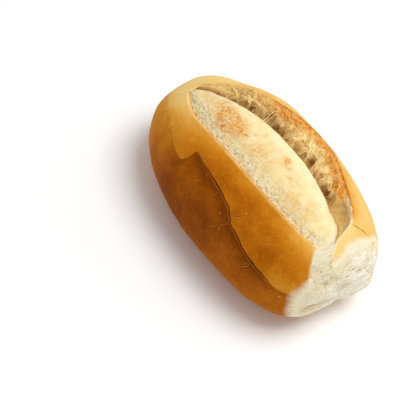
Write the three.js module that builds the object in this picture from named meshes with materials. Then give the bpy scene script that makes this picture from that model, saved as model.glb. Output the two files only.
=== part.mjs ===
// A crusty French bread roll, baked as one piece: an oval loaf with a flat base, one long slash
// that burst open in the oven, and pale torn ends where it touched the next rolls on the tray.
// Millimetres, +Z up. X runs along the roll, +X towards the torn end that faces the viewer, and
// the raised ear of the slash is on the +Y side. The origin is the middle of the base.

import * as THREE from "three";
import { ImprovedNoise } from "three/addons/math/ImprovedNoise.js";

const { clamp, degToRad, lerp, smoothstep } = THREE.MathUtils;

// ---- Driving dimensions, in mm ----
const LENGTH = 128;
const WIDTH = 77;
const HEIGHT = 58; // of the plain loaf, before its base settles flat
const WAIST = 24.6; // height of the widest level in that plain loaf
const BASE_CUT = 3.4; // how much of the round underside is lost to the flat base
const BASE_ROUND = 1.7; // how softly the base turns into the sides

// Exponents of the superellipses: below 1 is fuller than an ellipse.
const FAR_END = { along: 0.964, across: 0.9 };
const NEAR_END = { along: 0.911, across: 0.534 };
const SECTION = { side: 0.946, top: 0.844, bottom: 0.734, bottomLift: 1.054 };

// ---- The grid that the skin is woven on ----
const ROWS = 90; // from pole to pole along the roll
const COLUMNS = {
  underLeft: 14, // middle of the base, up the left side, to the crack
  crack: 2,
  overLeft: 8, // from the crack to the slash's left lip
  lip: 1,
  dome: 10, // the crumb that swelled out of the slash
  wall: 8, // the torn inner side of the ear
  earEdge: 1,
  right: 17, // from the ear down the right side to the middle of the base
};

// ---- Lines that run along the roll, as [latitude, angle] in degrees ----
// Latitude is -90 at the far pole and 90 at the near one. The angle goes round the section: 0 at
// the top, 90 on the +Y side, -90 on the left.
const LEFT_LIP = [[-90, -34], [-50, -13], [-41, -31], [0, -29], [48, -21], [62, -14], [90, -36]];
const CREVICE = [[-90, -8], [-50, -11], [-40, -6], [-20, 9], [8, 16], [36, 11], [54, -7], [90, -8]];
const EAR = [[-90, 20], [-50, -9], [-40, 11], [-20, 35], [0, 43], [20, 34], [46, 19], [55, -5], [90, 20]];
const CRACK = [[-90, -50], [-6, -49], [8, -52], [16, -62], [38, -70], [52, -76], [90, -76]];

// ---- Heights and depths, in mm, each with the latitudes where it starts, fills, holds and ends ----
const LIP_DEPTH = { size: 1.3, span: [-50, -42, 42, 54] }; // the crumb lies this far below the crust
const DOME_RISE = { size: 2, span: [-50, -15, 20, 56] };
const CREVICE_DEPTH = { size: 10.5, span: [-51, -18, 26, 63] };
const EAR_RISE = { size: 1.8, span: [-50, -20, 15, 60] };
const CRACK_DEPTH = { size: 0.9, span: [-22, -4, 42, 60] };
const PLATE_RISE = { size: 0.8, span: [-36, -12, 45, 62] }; // the crust lifts along the crack

// ---- Small forms, in mm ----
const CRACK_WIDTH = 1;
const LIP_WIDTH = 0.7; // over which the crust's cut edge drops to the dome
const EAR_EDGE = 1.3; // toasted thickness of the ear's rim
const EAR_SPREAD = 10; // over which the crust falls back from the ear
const PLATE_SPREAD = 13; // over which the crust falls back from the crack
const TEAR = { size: 5, depth: 1.1 }; // lumps on the torn wall
const SWELL = { size: 27, depth: 0.6 }; // unevenness of the whole loaf
const TORN_END = { near: 54.5, far: -60, fade: 4, lump: 7, layer: 5, depth: 1 };

const noise = new ImprovedNoise();

// A smooth function through [place, value] pairs.
function lineThrough(pairs) {
  const slope = (i) => {
    const before = pairs[Math.max(i - 1, 0)];
    const after = pairs[Math.min(i + 1, pairs.length - 1)];
    return (after[1] - before[1]) / (after[0] - before[0]);
  };
  return (place) => {
    const next = pairs.findIndex((pair) => pair[0] > place);
    const i = next < 1 ? pairs.length - 2 : next - 1;
    const [[a, from], [b, to]] = [pairs[i], pairs[i + 1]];
    const t = clamp((place - a) / (b - a), 0, 1);
    const rest = 1 - t;
    const ends = from * (1 + 2 * t) * rest * rest + to * (3 - 2 * t) * t * t;
    const bends = (b - a) * (slope(i) * t * rest * rest - slope(i + 1) * t * t * rest);
    // Kept between the two values it joins, so that a corner doesn't swing past them.
    return clamp(ends + bends, Math.min(from, to), Math.max(from, to));
  };
}

const leftLip = lineThrough(LEFT_LIP);
const crevice = lineThrough(CREVICE);
const ear = lineThrough(EAR);
const crack = lineThrough(CRACK);

// The size of a feature at a latitude: nothing, growing, full, shrinking, nothing.
function sizeAt({ size, span: [start, full, hold, end] }, latitude) {
  return size * smoothstep(latitude, start, full) * (1 - smoothstep(latitude, hold, end));
}

function signedPower(value, exponent) {
  return Math.sign(value) * Math.abs(value) ** exponent;
}

// The plain loaf's skin at a latitude and an angle round the section, both in degrees.
function loafSkin(latitude, angle) {
  const end = latitude > 0 ? NEAR_END : FAR_END;
  const shrink = Math.max(Math.cos(degToRad(latitude)), 0) ** end.across;
  const up = Math.cos(degToRad(angle));
  const x = (LENGTH / 2) * signedPower(Math.sin(degToRad(latitude)), end.along);
  const y = (WIDTH / 2) * shrink * signedPower(Math.sin(degToRad(angle)), SECTION.side);
  const height = up > 0
    ? (HEIGHT - WAIST) * shrink * up ** SECTION.top
    : -WAIST * shrink ** SECTION.bottomLift * (-up) ** SECTION.bottom;
  return new THREE.Vector3(x, y, WAIST + height);
}

// The way out of the loaf, from its core line through a point of the skin.
function outward(skin) {
  return new THREE.Vector3(skin.x * 0.28, skin.y, skin.z - WAIST).normalize();
}

// Noise between about -1 and 1 whose lumps measure size mm.
function lumps(point, size, seed) {
  const s = 1 / size;
  return noise.noise(point.x * s + seed, point.y * s + seed * 0.7, point.z * s - seed) * 1.4;
}

// The angle in degrees that covers a length in mm on the skin there, up to a limit.
function angleOf(length, latitude, angle, limit) {
  const arc = loafSkin(latitude, angle).distanceTo(loafSkin(latitude, angle + 1));
  return Math.min(length / Math.max(arc, 0.02), limit);
}

// One section, as a list of { angle, lift, torn }: where each point is on the skin, how far in mm
// it stands off it, and how much of the torn wall's relief it has.
function section(latitude) {
  const lipAngle = leftLip(latitude);
  const creviceAngle = crevice(latitude);
  const earAngle = ear(latitude);
  const crackAngle = crack(latitude);

  const lipDepth = sizeAt(LIP_DEPTH, latitude);
  const domeRise = sizeAt(DOME_RISE, latitude);
  const creviceDepth = sizeAt(CREVICE_DEPTH, latitude);
  const earRise = sizeAt(EAR_RISE, latitude);
  const crackDepth = sizeAt(CRACK_DEPTH, latitude);
  const plateRise = sizeAt(PLATE_RISE, latitude);

  const domeFrom = lipAngle + angleOf(LIP_WIDTH, latitude, lipAngle, 2);
  const crustFrom = earAngle + angleOf(EAR_EDGE, latitude, earAngle, 3);
  const crackHalf = angleOf(CRACK_WIDTH / 2, latitude, crackAngle, 2);
  const plateSpread = angleOf(PLATE_SPREAD, latitude, crackAngle, 60);
  const earSpread = angleOf(EAR_SPREAD, latitude, earAngle, 60);

  const leftCrust = (angle) =>
    plateRise * Math.max(1 - Math.abs(angle - crackAngle) / plateSpread, 0);
  const dome = (angle, t) => {
    const edge = -lipDepth * (1 - smoothstep(t, 0, 0.35));
    const crown = domeRise * Math.sin(Math.PI * t) ** 0.9;
    const fall = -creviceDepth * smoothstep(t, 0.6, 1) ** 1.6;
    return edge + crown + fall;
  };
  const wall = (angle, t) => lerp(-creviceDepth, earRise, t ** 1.15);
  const rightCrust = (angle) => earRise * Math.exp(-1.6 * ((angle - crustFrom) / earSpread) ** 2);

  const points = [];
  const stretch = (from, to, count, lift, torn = 0) => {
    for (let i = 0; i < count; i++) {
      const angle = lerp(from, to, i / count);
      points.push({ angle, lift: lift(angle, i / count), torn });
    }
  };
  stretch(-180, crackAngle - crackHalf, COLUMNS.underLeft, leftCrust);
  stretch(crackAngle - crackHalf, crackAngle + crackHalf, COLUMNS.crack, (angle, t) =>
    leftCrust(angle) - (t > 0 ? crackDepth : 0));
  stretch(crackAngle + crackHalf, lipAngle, COLUMNS.overLeft, leftCrust);
  stretch(lipAngle, domeFrom, COLUMNS.lip, () => 0);
  stretch(domeFrom, creviceAngle, COLUMNS.dome, dome);
  stretch(creviceAngle, earAngle, COLUMNS.wall, wall, creviceDepth / CREVICE_DEPTH.size);
  stretch(earAngle, crustFrom, COLUMNS.earEdge, () => earRise);
  stretch(crustFrom, 180, COLUMNS.right, rightCrust);
  return points;
}

// Ridges and lumps of torn crumb on the two ends, fading out where the crust begins.
function tornEndLift(skin) {
  const near = smoothstep(skin.x, TORN_END.near, TORN_END.near + TORN_END.fade);
  const far = 1 - smoothstep(skin.x, TORN_END.far - TORN_END.fade, TORN_END.far);
  const wander = 2.5 * lumps(skin, 15, 3);
  const layers = Math.sin((skin.z + 0.35 * skin.y) * (2 * Math.PI / TORN_END.layer) + wander);
  const torn = 0.8 * lumps(skin, TORN_END.lump, 9) + 0.35 * layers * lumps(skin, 11, 4);
  return Math.max(near, far) * TORN_END.depth * torn;
}

// The larger of a height and the base's level, with a soft turn between them.
function settle(height) {
  const share = clamp(0.5 + (0.5 * (height - BASE_CUT)) / BASE_ROUND, 0, 1);
  return lerp(BASE_CUT, height, share) + BASE_ROUND * share * (1 - share);
}

// Lays one point of a section on the loaf, lifts it by all its relief and settles the base.
function place(latitude, { angle, lift, torn }) {
  const skin = loafSkin(latitude, angle);
  const swell = SWELL.depth * lumps(skin, SWELL.size, 5);
  const tear = torn * TEAR.depth * lumps(skin, TEAR.size, 21);
  const point = skin.clone().addScaledVector(outward(skin), lift + swell + tear + tornEndLift(skin));
  return point.setZ(settle(point.z) - BASE_CUT);
}

// The closed skin: a ring for each row, and a pole at either end.
function rollGeometry() {
  const rings = [];
  for (let row = 1; row < ROWS; row++) {
    const latitude = -90 + (180 * row) / ROWS;
    rings.push(section(latitude).map((point) => place(latitude, point)));
  }
  const points = rings.flat();
  const columns = rings[0].length;
  const at = (ring, column) => ring * columns + (column % columns);
  const faces = [];
  for (let ring = 0; ring < rings.length - 1; ring++) {
    for (let column = 0; column < columns; column++) {
      const [a, b] = [at(ring, column), at(ring, column + 1)];
      const [c, d] = [at(ring + 1, column + 1), at(ring + 1, column)];
      faces.push(a, d, c, a, c, b);
    }
  }
  const addPole = (latitude, ring) => {
    points.push(place(latitude, { angle: 0, lift: 0, torn: 0 }));
    const pole = points.length - 1;
    for (let column = 0; column < columns; column++) {
      const [a, b] = [at(ring, column), at(ring, column + 1)];
      faces.push(...(latitude > 0 ? [pole, b, a] : [pole, a, b]));
    }
  };
  addPole(-90, 0);
  addPole(90, rings.length - 1);
  const geometry = new THREE.BufferGeometry().setFromPoints(points);
  geometry.setIndex(faces);
  geometry.computeVertexNormals();
  return geometry;
}

const crust = new THREE.MeshStandardMaterial({ color: 0xc9862f, roughness: 0.55, metalness: 0 });

const roll = new THREE.Mesh(rollGeometry(), crust);
roll.name = "bread_roll";

const group = new THREE.Group();
group.add(roll);

export default group;
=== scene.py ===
# %% [markdown]
# # A crusty French bread roll
#
# The roll is one baked thing: a plump oval loaf with a browned, crackled crust, one long slash that
# burst open in the oven, and pale torn ends where it touched the next rolls on the tray. The CAD
# frame already holds the true form as one solid. In this lesson that solid gets the skin of a real
# roll: crust, risen crumb, torn honeycomb, toasted ear and torn ends, each as its own closed mesh.

import math

import bpy
import numpy as np
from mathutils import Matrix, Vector, kdtree, noise


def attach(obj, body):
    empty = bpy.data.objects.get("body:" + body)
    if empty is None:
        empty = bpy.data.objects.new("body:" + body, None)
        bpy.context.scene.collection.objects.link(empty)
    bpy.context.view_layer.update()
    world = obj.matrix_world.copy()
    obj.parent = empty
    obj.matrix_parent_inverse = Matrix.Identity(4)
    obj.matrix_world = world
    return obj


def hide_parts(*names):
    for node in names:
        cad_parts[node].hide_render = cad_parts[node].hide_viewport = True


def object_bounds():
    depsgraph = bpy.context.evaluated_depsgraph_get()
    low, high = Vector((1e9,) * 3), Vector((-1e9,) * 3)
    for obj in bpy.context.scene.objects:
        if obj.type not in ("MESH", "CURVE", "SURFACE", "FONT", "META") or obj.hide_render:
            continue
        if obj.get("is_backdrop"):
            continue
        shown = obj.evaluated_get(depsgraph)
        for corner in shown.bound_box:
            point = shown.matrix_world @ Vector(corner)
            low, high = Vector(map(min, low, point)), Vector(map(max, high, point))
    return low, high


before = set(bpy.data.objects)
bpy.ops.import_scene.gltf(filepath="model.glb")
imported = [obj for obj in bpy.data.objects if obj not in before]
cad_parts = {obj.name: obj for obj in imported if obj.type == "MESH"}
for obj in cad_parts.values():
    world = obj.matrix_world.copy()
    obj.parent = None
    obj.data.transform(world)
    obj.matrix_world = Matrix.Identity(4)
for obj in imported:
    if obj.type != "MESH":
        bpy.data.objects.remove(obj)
cad_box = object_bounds()
MM = 0.001
print("the frame's box in mm:", [[round(c / MM, 1) for c in corner] for corner in cad_box])

# %% [markdown]
# ## The loaf's form
#
# A real loaf swells evenly like a pillow, so a superellipsoid fits it: an oval whose exponents make
# it fuller than an ellipse. Every point of the skin then has an address, a latitude from the far
# end (-90) to the near end (90) and an angle round the section (0 at the top, 90 on the ear's
# side). The sizes are the ones that the solid was made from. With addresses, a mesh of any
# fineness can be laid on the same form, which a shrinkwrap on the solid's facets couldn't do.

# %% The plain skin
LENGTH, WIDTH, HEIGHT = 128, 77, 58
WAIST = 24.6  # mm above the untrimmed bottom
BASE_CUT, BASE_ROUND = 3.4, 1.7  # the flat base, and how softly it turns into the sides
FAR_ALONG, NEAR_ALONG = 0.964, 0.911
FAR_ACROSS, NEAR_ACROSS = 0.9, 0.534
SIDE, TOP, BOTTOM, BOTTOM_LIFT = 0.946, 0.844, 0.734, 1.054


def smoothstep(value, start, end):
    t = np.clip((value - start) / (end - start), 0, 1)
    return t * t * (3 - 2 * t)


def fades(value, start, end):
    """1 up to start, then smoothly down to 0 at end."""
    return 1 - smoothstep(value, start, end)


def bell(value, middle, width):
    """1 in the middle, falling off over the width on either side."""
    return np.exp(-(((value - middle) / width) ** 2))


def signed_power(value, exponent):
    return np.sign(value) * np.abs(value) ** exponent


def plain_skin(latitude, angle):
    """Points of the plain loaf, in mm, before its base is trimmed."""
    near = latitude > 0
    along = np.where(near, NEAR_ALONG, FAR_ALONG)
    across = np.where(near, NEAR_ACROSS, FAR_ACROSS)
    shrink = np.maximum(np.cos(np.radians(latitude)), 0) ** across
    up = np.cos(np.radians(angle))
    x = LENGTH / 2 * signed_power(np.sin(np.radians(latitude)), along)
    y = WIDTH / 2 * shrink * signed_power(np.sin(np.radians(angle)), SIDE)
    above = (HEIGHT - WAIST) * shrink * np.abs(up) ** TOP
    below = -WAIST * shrink**BOTTOM_LIFT * np.abs(up) ** BOTTOM
    return np.stack([x, y, WAIST + np.where(up > 0, above, below)], -1)


def latitude_of(x):
    """The latitude of a place x mm along the roll."""
    along = np.where(np.asarray(x) > 0, NEAR_ALONG, FAR_ALONG)
    part = np.minimum(np.abs(x) / (LENGTH / 2), 1)
    return np.degrees(np.sign(x) * np.arcsin(part ** (1 / along)))


print("middle section in mm:", np.ptp(plain_skin(np.zeros(4), np.array([0, 90, 180, -90])), axis=0))

# %% [markdown]
# Nothing that is baked is regular. Soft noise swells and dents the form, and finer noise makes
# every crumb and blister later on. One helper gives noise with lumps of a stated size, so that
# all sizes in this lesson are millimetres that can be compared with a real roll.


# %% Noise by size
def lumps(points, size, seed, octaves=1):
    """Noise of about -1 to 1 at points in mm, with lumps of size mm."""
    at = (np.asarray(points) / size + seed * 7.31).tolist()
    if octaves == 1:
        return np.array([noise.noise(p) for p in at]) * 1.4
    return np.array([noise.fractal(p, 1.0, 2.1, octaves) for p in at])


def settle(height):
    """The larger of a height and the base's level, with a soft turn between them."""
    share = np.clip(0.5 + 0.5 * (height - BASE_CUT) / BASE_ROUND, 0, 1)
    return BASE_CUT * (1 - share) + height * share + BASE_ROUND * share * (1 - share)


def outward(skin):
    way = skin * [0.28, 1, 1] - [0, 0, WAIST]
    return way / np.linalg.norm(way, axis=-1, keepdims=True)


def spots(x, angle, table):
    """Soft spots added up, each ((mm along, degrees), reach in the same units, strength)."""
    return sum(strength * bell(x, at[0], reach[0]) * bell(angle, at[1], reach[1])
               for at, reach, strength in table)


SWELL, SWELL_SIZE = 0.4, 27  # mm, how far the skin swells, and over what length
DENTS = [((-45, 42), (10, 24), 1.5), ((-61, -40), (7, 40), 1.0)]  # (mm, degrees), reach, mm
SHOULDER_DROP = 0.3  # mm that the right shoulder lies in


def lay(latitude, angle, lift=0.0):
    """Points on the roll in mm: the skin at these addresses, lifted off it, base trimmed flat."""
    skin = plain_skin(latitude, angle)
    swell = SWELL * lumps(skin, SWELL_SIZE, 5) - spots(skin[:, 0], angle, DENTS)
    swell -= SHOULDER_DROP * smoothstep(angle, 25, 50) * fades(angle, 80, 120)
    points = skin + outward(skin) * (np.asarray(lift) + swell)[:, None]
    points[:, 2] = settle(points[:, 2]) - BASE_CUT
    return points


# %% [markdown]
# ## The lines of the burst slash
#
# One blade cut ran along the top. As the loaf sprang up, the crust split along it: the left lip
# stayed low, crumb domed up beside it, and on the right the crust lifted as an ear with a torn
# wall under it. Three lines along the roll hold all of this, and heights belong to them. At the
# near end the left lip turns down, as the crisp edge that the crust has towards the torn crumb.


# %% Lines and heights
def line_through(pairs):
    """A smooth function through (place, value) pairs that never swings past them."""
    places, values = np.array(pairs, float).T
    slopes = np.empty(len(places))
    slopes[1:-1] = (values[2:] - values[:-2]) / (places[2:] - places[:-2])
    slopes[0] = (values[1] - values[0]) / (places[1] - places[0])
    slopes[-1] = (values[-1] - values[-2]) / (places[-1] - places[-2])

    def at(place):
        i = np.clip(np.searchsorted(places, place, side="right") - 1, 0, len(places) - 2)
        span = places[i + 1] - places[i]
        t = np.clip((place - places[i]) / span, 0, 1)
        rest = 1 - t
        ends = values[i] * (1 + 2 * t) * rest**2 + values[i + 1] * (3 - 2 * t) * t**2
        bends = span * (slopes[i] * t * rest**2 - slopes[i + 1] * t**2 * rest)
        low, high = np.minimum(values[i], values[i + 1]), np.maximum(values[i], values[i + 1])
        return np.clip(ends + bends, low, high)

    return at


def grows(size, start, full, hold, end):
    """A size that starts, fills, holds and ends at those latitudes."""
    return lambda latitude: size * smoothstep(latitude, start, full) * fades(latitude, hold, end)


left_lip = line_through(
    [(-90, -34), (-50.5, -23), (-43.5, -27.5), (-38, -31), (-31, -33), (-20, -32.3), (-9, -30.8),
     (10, -28.9), (26, -27.2), (42, -24.2), (47.5, -21.5), (50.5, -23.5), (54.6, -30.3),
     (58.5, -36.5), (62.7, -43.5), (68, -50), (90, -56)]
)
crevice = line_through(
    [(-90, -10), (-50.5, -20.5), (-46.5, -14), (-41, -5), (-35, 1), (-24, 9), (-10, 15.7),
     (2, 18.3), (12, 19.5), (24, 17.5), (36, 13), (42, 9), (46, 6), (50, 0.5), (54, -6), (58, -13),
     (63, -20), (90, -27)]
)
ear = line_through(
    [(-90, 16), (-50.5, -18), (-47.5, -7.5), (-43, 0.7), (-39.2, 8), (-34.7, 14.3), (-29, 18.6),
     (-21, 23.3), (-13, 28), (-6, 33), (1, 37.5), (7, 39.3), (14.5, 35.3), (22.5, 29.5), (31, 25),
     (39, 21.5), (42.8, 19), (45.8, 16), (49, 7.5), (51.7, 0.5), (55, -7), (58, -11.5), (63, -16),
     (90, -18)]
)
lip_depth = grows(1.3, -50, -42, 42, 54)
dome_rise = grows(2.0, -50, -15, 20, 56)
crevice_depth = grows(10.5, -51, -18, 20, 55)
ear_rise = grows(1.2, -36, -6, 15, 60)
plate_rise = grows(0.8, -36, -12, 45, 62)
slash_open = grows(1.0, -49.5, -46, 60, 66)


def millimetres_per_degree(latitude, angle):
    step = plain_skin(latitude, angle + 0.5) - plain_skin(latitude, angle - 0.5)
    return np.maximum(np.linalg.norm(step, axis=-1), 0.05)


def degrees_for(length, latitude, angle):
    """How many degrees a length in mm round the section is, at an address."""
    return length / millimetres_per_degree(latitude, angle)


def dome_lift(latitude, angle):
    """The risen crumb's height over the plain skin, between the left lip and the crevice."""
    start, end = left_lip(latitude), crevice(latitude)
    t = np.clip((angle - start) / (end - start), 0, 1)
    edge = -lip_depth(latitude) * fades(t, 0, 0.35)
    crown = dome_rise(latitude) * np.sin(np.pi * t) ** 0.9
    brink = 0.6 - 0.25 * smoothstep(latitude, 30, 44)
    return edge + crown - crevice_depth(latitude) * smoothstep(t, brink, 1) ** 1.6


def wall_lift(latitude, angle):
    """The torn wall's height, from the bottom of the crevice up to the ear."""
    start, end = crevice(latitude), ear(latitude)
    t = np.clip((angle - start) / (end - start), 0, 1)
    depth, rise = crevice_depth(latitude), ear_rise(latitude)
    return -depth + (depth + rise) * (1 - (1 - t) ** 1.3)


middle = np.zeros(1)
wide = (ear(middle) - left_lip(middle)) * millimetres_per_degree(middle, np.zeros(1))
print("the slash is", wide.round(1), "mm wide in the middle")

# %% [markdown]
# ## Where the crust ends
#
# Rolls that touch on the tray are torn apart after baking, and the tear shows pale crumb with no
# crust. On the near end the crust stops crisply beside the slash and fades softly on both flanks.
# The far end touched less. An edge is a place along the roll for each angle round the section.

# %% Edges of the torn ends
near_edge = line_through(
    [(-180, 57.6), (-124, 59.2), (-101, 59.6), (-87, 59.4), (-72, 59), (-65, 58.9), (-56, 59.1),
     (-48, 58.8), (-42, 57.6), (-34.6, 55.3), (-26, 52.4), (-22, 50.6), (-19, 51.5), (-16.5, 57.8),
     (-9.5, 57.7), (-3, 57.2), (6, 55.0), (18, 54.2), (30.5, 54.3), (42, 53.9), (50, 53.3),
     (62, 54.8), (80, 57), (180, 57)]
)
near_soft = line_through(
    [(-180, 1.6), (-90, 3.2), (-60, 3.0), (-48, 1.6), (-40, 0.7), (-21, 0.5), (-16, 1.5), (8, 2.0),
     (30, 2.0), (60, 1.8), (180, 1.6)]
)
far_edge = line_through([(-180, 60), (-90, 61.6), (0, 61.8), (90, 60.8), (180, 60)])


def past_edge(latitude, angle):
    """How many mm past the crust's edge an address lies, at whichever end is nearer."""
    x = plain_skin(latitude, angle)[:, 0]
    return np.where(x > 0, x - near_edge(angle), -x - far_edge(angle))


FAR_SOFT = 1.2  # mm


def edge_softness(latitude, angle):
    """Over how many mm the crust fades out, and how crisp (1) or soft (0) that edge is."""
    soft = np.where(latitude > 0, near_soft(angle), FAR_SOFT)
    return soft, fades(soft, 0.6, 1.4)


# %% [markdown]
# ## Cracks in the crust
#
# Crust cools faster than crumb, shrinks and crackles. The left flank has one long crack, dark with
# painted shade, with raised lips, a few short branches, and pale seams and hairlines where two
# plates of crust meet; the paleness of lips and seams is a painted highlight. A crack is a chain of
# addresses (mm along the roll, degrees) with a half width, a depth and a lip height in mm, and a
# darkness, the painted shade in its groove. Where it is dark its lips stand beside it, and a pale
# seam is one raised line. It wanders a little, so its points are spread closely and pushed about
# by noise.

# %% Crack lines
MAIN_CRACK = [
    (-6.5, -48.2), (-4.7, -48.6), (1.4, -49.4), (4.4, -50.2), (7.4, -51.2), (10.7, -52.4),
    (13.6, -53.4), (16.3, -55.6), (18.8, -58.2), (19.9, -60.6), (23.7, -61.8), (28.2, -64),
    (31.7, -66.8), (34.9, -68.2), (41.1, -70.4), (47.6, -72.6), (51, -74.6),
]
CRACKS = [
    # chain, half width, depth, lip height, darkness
    (MAIN_CRACK, 0.2, 0.55, 0.07, 1.0),
    ([(-15.7, -50.6), (-15.5, -48.2), (-13.2, -46.8), (-10.4, -47), (-7.7, -47.8), (-4, -48.7)],
     0.13, 0.14, 0.11, 0.35),
    ([(50, -74), (53, -73.8), (55.1, -73), (57.3, -73.4)], 0.13, 0.12, 0.1, 0.35),
    ([(18.6, -57), (20, -54.2), (21.5, -50.2), (22.7, -46.6)], 0.17, 0.26, 0.15, 0.75),
    ([(20, -60.4), (18, -64.6), (16.3, -69.8)], 0.22, 0.4, 0.13, 1.0),
    ([(16.3, -69.8), (14, -75.4), (11.8, -79.8)], 0.2, 0.05, 0.16, 0.15),
    ([(38.2, -70), (37, -75.2), (34.9, -80.4), (34, -84)], 0.17, 0.26, 0.13, 0.7),
    # pale seams, raised lines paled with a painted highlight
    ([(-15.7, -50.6), (-16.2, -54.8), (-18.2, -61), (-21.1, -61.6), (-26.8, -60.6), (-30.8, -58.2),
      (-38, -54), (-41, -48)], 0.22, 0.0, 0.09, 0.03),
    ([(-7.5, -44.6), (-6.7, -39.4), (-6.1, -32)], 0.2, 0.0, 0.1, 0.0),
    ([(32, -57), (32.7, -54), (35.3, -47), (37.7, -39), (39, -34)], 0.2, 0.0, 0.08, 0.05),
    ([(-46.6, -26), (-48, -29), (-50.5, -33), (-51.8, -41), (-51.6, -53)], 0.25, 0.0, 0.14, 0.05),
    ([(47.2, 15), (47.7, 17), (50.5, 25), (53.1, 32), (54.7, 37)], 0.16, 0.3, 0.12, 0.6),
    ([(49, -85), (50.2, -81.2), (51.1, -77)], 0.16, 0.0, 0.1, 0.05),
    # hairlines
    ([(-15.1, -46.6), (-17.5, -42.4), (-18.5, -36.6)], 0.14, 0.0, 0.08, 0.0),
    ([(6.8, -52), (5.7, -56.8), (4.8, -61.5)], 0.14, 0.0, 0.1, 0.0),
    ([(8.4, -52.4), (7.8, -55.8), (7.6, -59)], 0.14, 0.0, 0.08, 0.0),
    ([(11.2, -76.6), (11, -73.8), (11, -70.6)], 0.14, 0.0, 0.08, 0.0),
    ([(-5.7, -50), (-6.1, -53.4), (-6.5, -56)], 0.14, 0.0, 0.08, 0.0),
    ([(-3, -54), (-5, -61), (-9, -67)], 0.12, 0.0, 0.06, 0.0),
    ([(-15, -64), (-18, -70), (-19, -77)], 0.12, 0.0, 0.06, 0.0),
    ([(30, -67.5), (33, -64), (34, -61)], 0.14, 0.0, 0.07, 0.0),
]
CRACK_STEP = 0.2  # mm between the points of a crack
TAPER_IN, TAPER_OUT = 5, 6  # mm over which a crack opens and closes

# where the upper plate of crust meets the lower one, by mm along
seam_angle = line_through(
    [(-62, -46), (-46, -50), (-38, -54), (-30.8, -58.2), (-26.8, -60.6), (-21.1, -61.6),
     (-18.2, -61), (-16.2, -54.8), (-15.5, -48.2), (-13.2, -46.8), (-7.7, -47.8), (1.4, -49.4),
     (10.7, -52.4), (16.3, -55.6), (19.9, -60.6), (23.7, -61.8), (31.7, -66.8), (41.1, -70.4),
     (51, -74.6), (60, -73.5)]
)


def crack_points():
    """Points of every crack: (N, 3) places in mm, and (N, 5) angle, width, depth, lip, dark."""
    places, facts = [], []
    for number, (chain, width, depth, lip, dark) in enumerate(CRACKS):
        x, angle = np.array(chain, float).T
        latitude = latitude_of(x)
        line = lay(latitude, angle)
        way = np.concatenate([[0], np.cumsum(np.linalg.norm(np.diff(line, axis=0), axis=1))])
        along = np.arange(0, way[-1], CRACK_STEP)
        latitude, angle = np.interp(along, way, latitude), np.interp(along, way, angle)
        at = np.stack([along, along * 0, along * 0 + 9 * number], -1)
        per_degree = millimetres_per_degree(latitude, angle)
        wander = 0.3 * lumps(at, 4.1, 11) + 0.12 * lumps(at, 1.1, 12)
        latitude = latitude + 0.2 * lumps(at, 2.3, 13)
        angle = angle + wander / per_degree
        taper = smoothstep(along, 0, TAPER_IN) * fades(along, way[-1] - TAPER_OUT, way[-1])
        taper = (0.25 + 0.75 * taper) * (1 + 0.35 * lumps(at, 4, 14))
        places.append(lay(latitude, angle))
        facts.append(np.stack([angle, width * taper, depth * taper, lip * taper,
                               dark * np.clip(taper * 1.5, 0, 1)], -1))
    return np.concatenate(places), np.concatenate(facts)


crack_places, crack_facts = crack_points()
crack_tree = kdtree.KDTree(len(crack_places))
for number, place in enumerate(crack_places.tolist()):
    crack_tree.insert(place, number)
crack_tree.balance()
print("crack points:", len(crack_places))


def nearest_crack(points):
    """Distance in mm to the nearest crack, and that crack point's number, for points in mm."""
    found = [crack_tree.find(p) for p in points.tolist()]
    return np.array([f[2] for f in found]), np.array([f[1] for f in found])


# %% [markdown]
# ## Making a piece
#
# A grid or a sphere is added as by hand, and each of its vertices is then moved to an address on
# the loaf. Dense grids follow the form without facets. Later cells need the vertices as an array,
# numbers stored on them for the materials, and an open patch closed underneath.


# %% Helpers for meshes
def read_points(piece):
    flat = np.empty(len(piece.data.vertices) * 3)
    piece.data.vertices.foreach_get("co", flat)
    return flat.reshape(-1, 3)


def write_points(piece, points_mm):
    piece.data.vertices.foreach_set("co", (np.asarray(points_mm) * MM).ravel())
    piece.data.update()


def store(piece, name, values):
    """Keeps a number for each vertex, for a material or a later step to read."""
    layer = piece.data.attributes.get(name)
    layer = layer or piece.data.attributes.new(name, "FLOAT", "POINT")
    layer.data.foreach_set("value", np.asarray(values, np.float32))


def recall(piece, name):
    values = np.empty(len(piece.data.vertices), np.float32)
    piece.data.attributes[name].data.foreach_get("value", values)
    return values.astype(float)


def only(piece):
    bpy.ops.object.select_all(action="DESELECT")
    piece.select_set(True)
    bpy.context.view_layer.objects.active = piece


def named(name):
    piece = bpy.context.object
    piece.name = piece.data.name = name
    return piece


def even_rows(share, start, end, angle=-40.0):
    """Latitudes from start to end, at shares of the way that are even in mm on the skin."""
    fine = np.linspace(start, end, 3000)
    line = plain_skin(fine, np.full(3000, angle))
    way = np.concatenate([[0], np.cumsum(np.linalg.norm(np.diff(line, axis=0), axis=1))])
    return np.interp(share * way[-1], way, fine)


def between(latitude, share, lines):
    """Angles at shares of the way round, where lines are (columns up to there, function)."""
    marks = np.cumsum([count for count, _ in lines]) / sum(count for count, _ in lines)
    angles = np.stack([line(latitude) for _, line in lines])
    i = np.clip(np.searchsorted(marks, share, side="right") - 1, 0, len(lines) - 2)
    t = np.clip((share - marks[i]) / (marks[i + 1] - marks[i]), 0, 1)
    columns = np.arange(len(share))
    return angles[i, columns] * (1 - t) + angles[i + 1, columns] * t


def add_grid(name, rows, columns):
    """A flat grid; its vertices' shares from 0 to 1 along and across come with it."""
    bpy.ops.object.select_all(action="DESELECT")
    bpy.ops.mesh.primitive_grid_add(x_subdivisions=rows, y_subdivisions=columns, size=1)
    piece = named(name)
    shares = read_points(piece) + 0.5
    return piece, shares[:, 0], shares[:, 1]


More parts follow.
